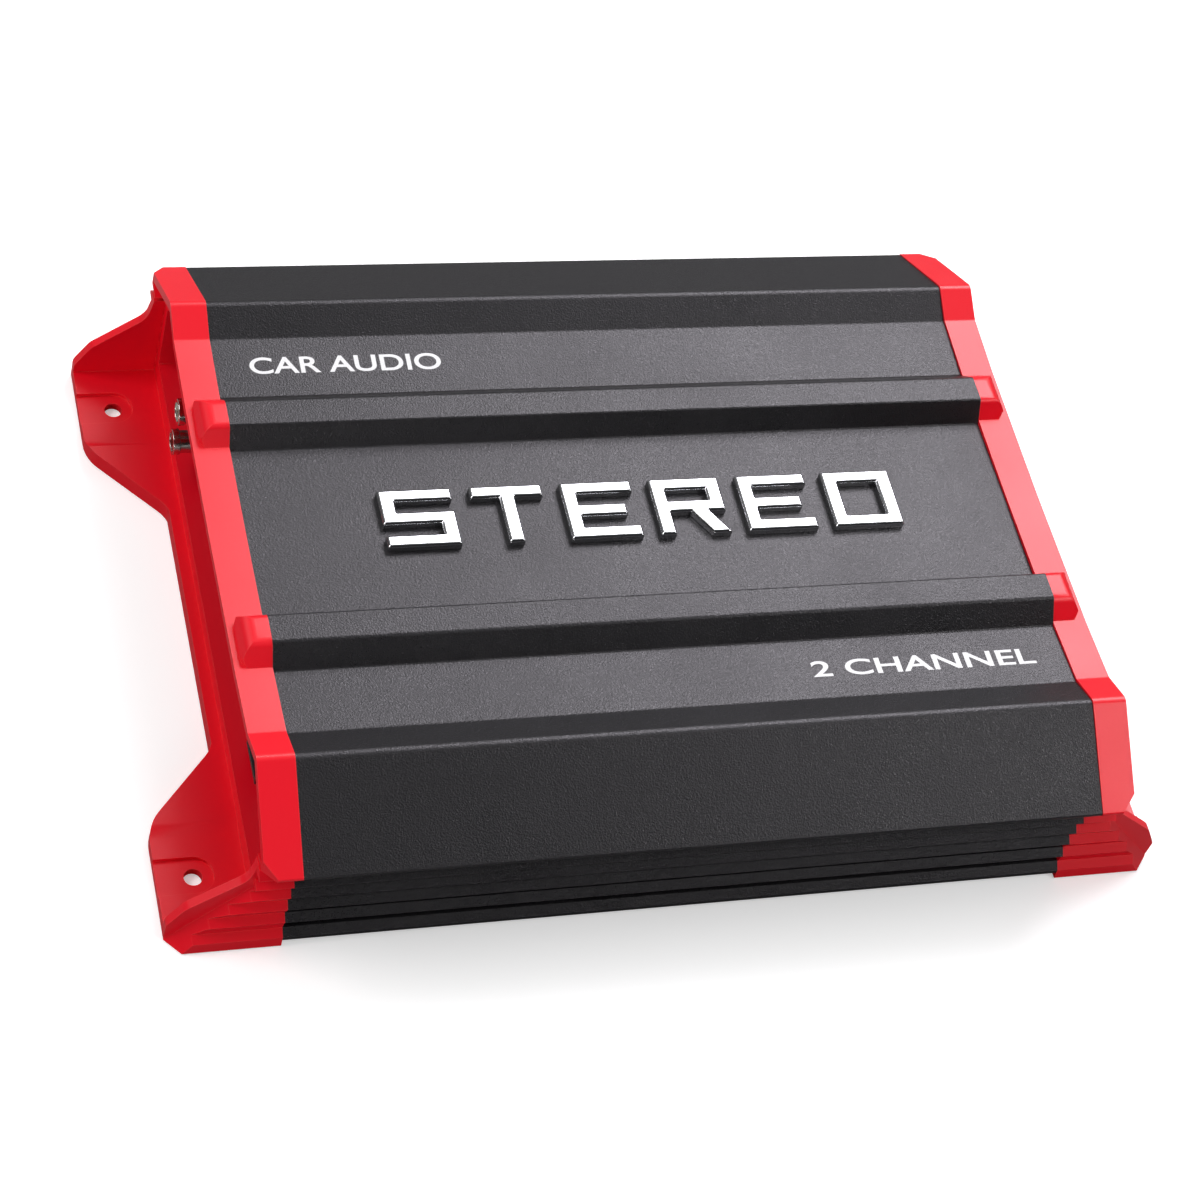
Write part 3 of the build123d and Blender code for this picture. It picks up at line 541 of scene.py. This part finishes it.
materials = {name: coatedSkin(name, look) for name, look in skins.items()}
materials.update({name: metalSkin(name, look) for name, look in metals.items()})
materials["copper_wire"] = copperWire()
materials["green_board"] = greenBoard()
materials["indicator_lens"] = indicatorLens()
inkMaterial = whiteInk()
slotOf = {part["node"]: part["material_slot"] for part in frame["record"]["subparts"]}
bodyOf = {node: body for body, members in frame["record"]["behaviour"]["bodies"].items() for node in members}
for name, item in cadNodes.items():
    item.data.materials.clear()
    item.data.materials.append(materials[slotOf[name]])
cadNodes["signal_jack_insulators"].data.materials[0] = jackInsulator()
cadNodes["speaker_level_socket"].data.materials[0] = materials["black_plastic"]
print("materials ready:", len(materials))


# softened edges on the pieces whose moulded or sawn edges show
softened = {
    # node: edge width in mm, steps
    "end_cap_left": (0.55, 2),
    "end_cap_right": (0.55, 2),
    "heatsink_extrusion": (0.30, 2),
    "badge_letters": (0.25, 2),
    "end_panel_left": (0.15, 1),
    "end_panel_right": (0.15, 1),
    "bottom_plate": (0.20, 1),
    "signal_jack_shells": (0.18, 2),
    "signal_jack_block": (0.35, 2),
    "fuse_body_1": (0.35, 2),
    "fuse_body_2": (0.35, 2),
    "gain_knob": (0.25, 2),
    "low_pass_knob": (0.25, 2),
    "high_pass_knob": (0.25, 2),
    "bass_knob": (0.25, 2),
    "speaker_level_socket": (0.25, 2),
}


bevelRule = {
    "merge": 1e-6,                       # metres
    "flat": math.radians(0.6),           # faces flatter than this join into one
    "sharp": math.radians(28),           # edges sharper than this are rounded
    "shadeWeight": 80,
}


def soften(node, width, steps):
    source = cadNodes[node]
    mesh = source.data.copy()
    piece = bpy.data.objects.new(node + ".soft", mesh)
    bpy.context.collection.objects.link(piece)
    shape = bmesh.new()
    shape.from_mesh(mesh)
    bmesh.ops.remove_doubles(shape, verts=shape.verts, dist=bevelRule["merge"])
    bmesh.ops.dissolve_limit(shape, angle_limit=bevelRule["flat"], verts=shape.verts, edges=shape.edges)
    for face in shape.faces:
        face.smooth = True
    shape.to_mesh(mesh)
    shape.free()
    bevel = piece.modifiers.new("softEdge", "BEVEL")
    bevel.width = width * mm
    bevel.segments = steps
    bevel.limit_method = "ANGLE"
    bevel.angle_limit = bevelRule["sharp"]
    bevel.use_clamp_overlap = True
    bevel.miter_outer = "MITER_ARC"
    shade = piece.modifiers.new("evenShade", "WEIGHTED_NORMAL")
    shade.weight = bevelRule["shadeWeight"]
    shade.keep_sharp = False
    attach(piece, bodyOf[node])
    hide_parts(node)


for node, (width, steps) in softened.items():
    soften(node, width, steps)
print("edges softened:", len(softened))


# printed words and dial marks
inkThickness = 0.06                      # mm


def inkPiece(name, mesh):
    mesh.materials.append(inkMaterial)
    piece = bpy.data.objects.new(name, mesh)
    bpy.context.collection.objects.link(piece)
    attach(piece, "chassis")


def printedText(name, words, width, height, place, turn, weight=0.0):
    # flat ink, a few hundredths of a millimetre thick
    curve = bpy.data.curves.new(name, "FONT")
    curve.body = words
    curve.align_x = "CENTER"
    curve.align_y = "CENTER"
    curve.extrude = 0.5
    curve.offset = weight
    helper = bpy.data.objects.new(name + ".curve", curve)
    bpy.context.collection.objects.link(helper)
    bpy.context.view_layer.update()
    mesh = bpy.data.meshes.new_from_object(helper.evaluated_get(bpy.context.evaluated_depsgraph_get()))
    bpy.data.objects.remove(helper)
    low = [min(v.co[i] for v in mesh.vertices) for i in range(3)]
    high = [max(v.co[i] for v in mesh.vertices) for i in range(3)]
    wide = width * mm / (high[0] - low[0])
    tall = height * mm / (high[1] - low[1])
    scale = Matrix.Diagonal((wide, tall, inkThickness * mm, 1))
    centre = Matrix.Translation([-(low[i] + high[i]) / 2 for i in range(3)])
    mesh.transform(Matrix.Translation([c * mm for c in place]) @ turn @ scale @ centre)
    inkPiece(name, mesh)


topPrint = {
    "tilt": math.radians(3.85),          # the outer panels slope a little
    "weight": 0.014,
    # words, width, height, place in mm
    "far": ("CAR AUDIO", 66, 6.8, (-89.0, 67.5, 57.76)),
    "near": ("2 CHANNEL", 80, 6.5, (82.7, -66.8, 57.71)),
}
towardFar = Matrix.Rotation(topPrint["tilt"], 4, "X")
towardNear = Matrix.Rotation(-topPrint["tilt"], 4, "X")
printedText("farPrint", *topPrint["far"], towardFar, topPrint["weight"])
printedText("nearPrint", *topPrint["near"], towardNear, topPrint["weight"])

dials = {
    "face": -135.52,                     # just off the left panel, in mm like the rest
    "y": (36.0, 20.0, 4.0, -12.0),
    "z": 42.0,
    "reach": 6.2,                        # from a knob's middle to its ticks
    "ticks": 11,
    "from": -145,                        # degrees, lowest setting
    "step": 29,
    "longTicks": (0, 5, 10),
    "tick": (0.04, 0.35, 0.8),
    "longTick": (0.04, 0.35, 1.3),
    "numberZ": 34.2,
    "numberOff": 5.6,
}


def dialMarks(name, y):
    # short ticks round a knob, from its lowest to its highest setting
    shape = bmesh.new()
    middle = Matrix.Translation((dials["face"] * mm, y * mm, dials["z"] * mm))
    lift = Matrix.Translation((0, 0, dials["reach"] * mm))
    for i in range(dials["ticks"]):
        turn = Matrix.Rotation(math.radians(dials["from"] + dials["step"] * i), 4, "X")
        tick = dials["longTick"] if i in dials["longTicks"] else dials["tick"]
        size = Matrix.Diagonal([side * mm for side in tick] + [1])
        bmesh.ops.create_cube(shape, size=1.0, matrix=middle @ turn @ lift @ size)
    mesh = bpy.data.meshes.new(name)
    shape.to_mesh(mesh)
    shape.free()
    inkPiece(name, mesh)


for index, y in enumerate(dials["y"]):
    dialMarks("dialMarks" + str(index + 1), y)
faceLeft = Matrix.Rotation(math.radians(-90), 4, "Z") @ Matrix.Rotation(math.radians(90), 4, "X")
for index, y in enumerate(dials["y"]):
    lowPlace = (dials["face"], y + dials["numberOff"], dials["numberZ"])
    highPlace = (dials["face"], y - dials["numberOff"], dials["numberZ"])
    printedText("dialLow" + str(index + 1), "0", 1.6, 2.2, lowPlace, faceLeft)
    printedText("dialHigh" + str(index + 1), "10", 2.6, 2.2, highPlace, faceLeft)
print("prints ready")
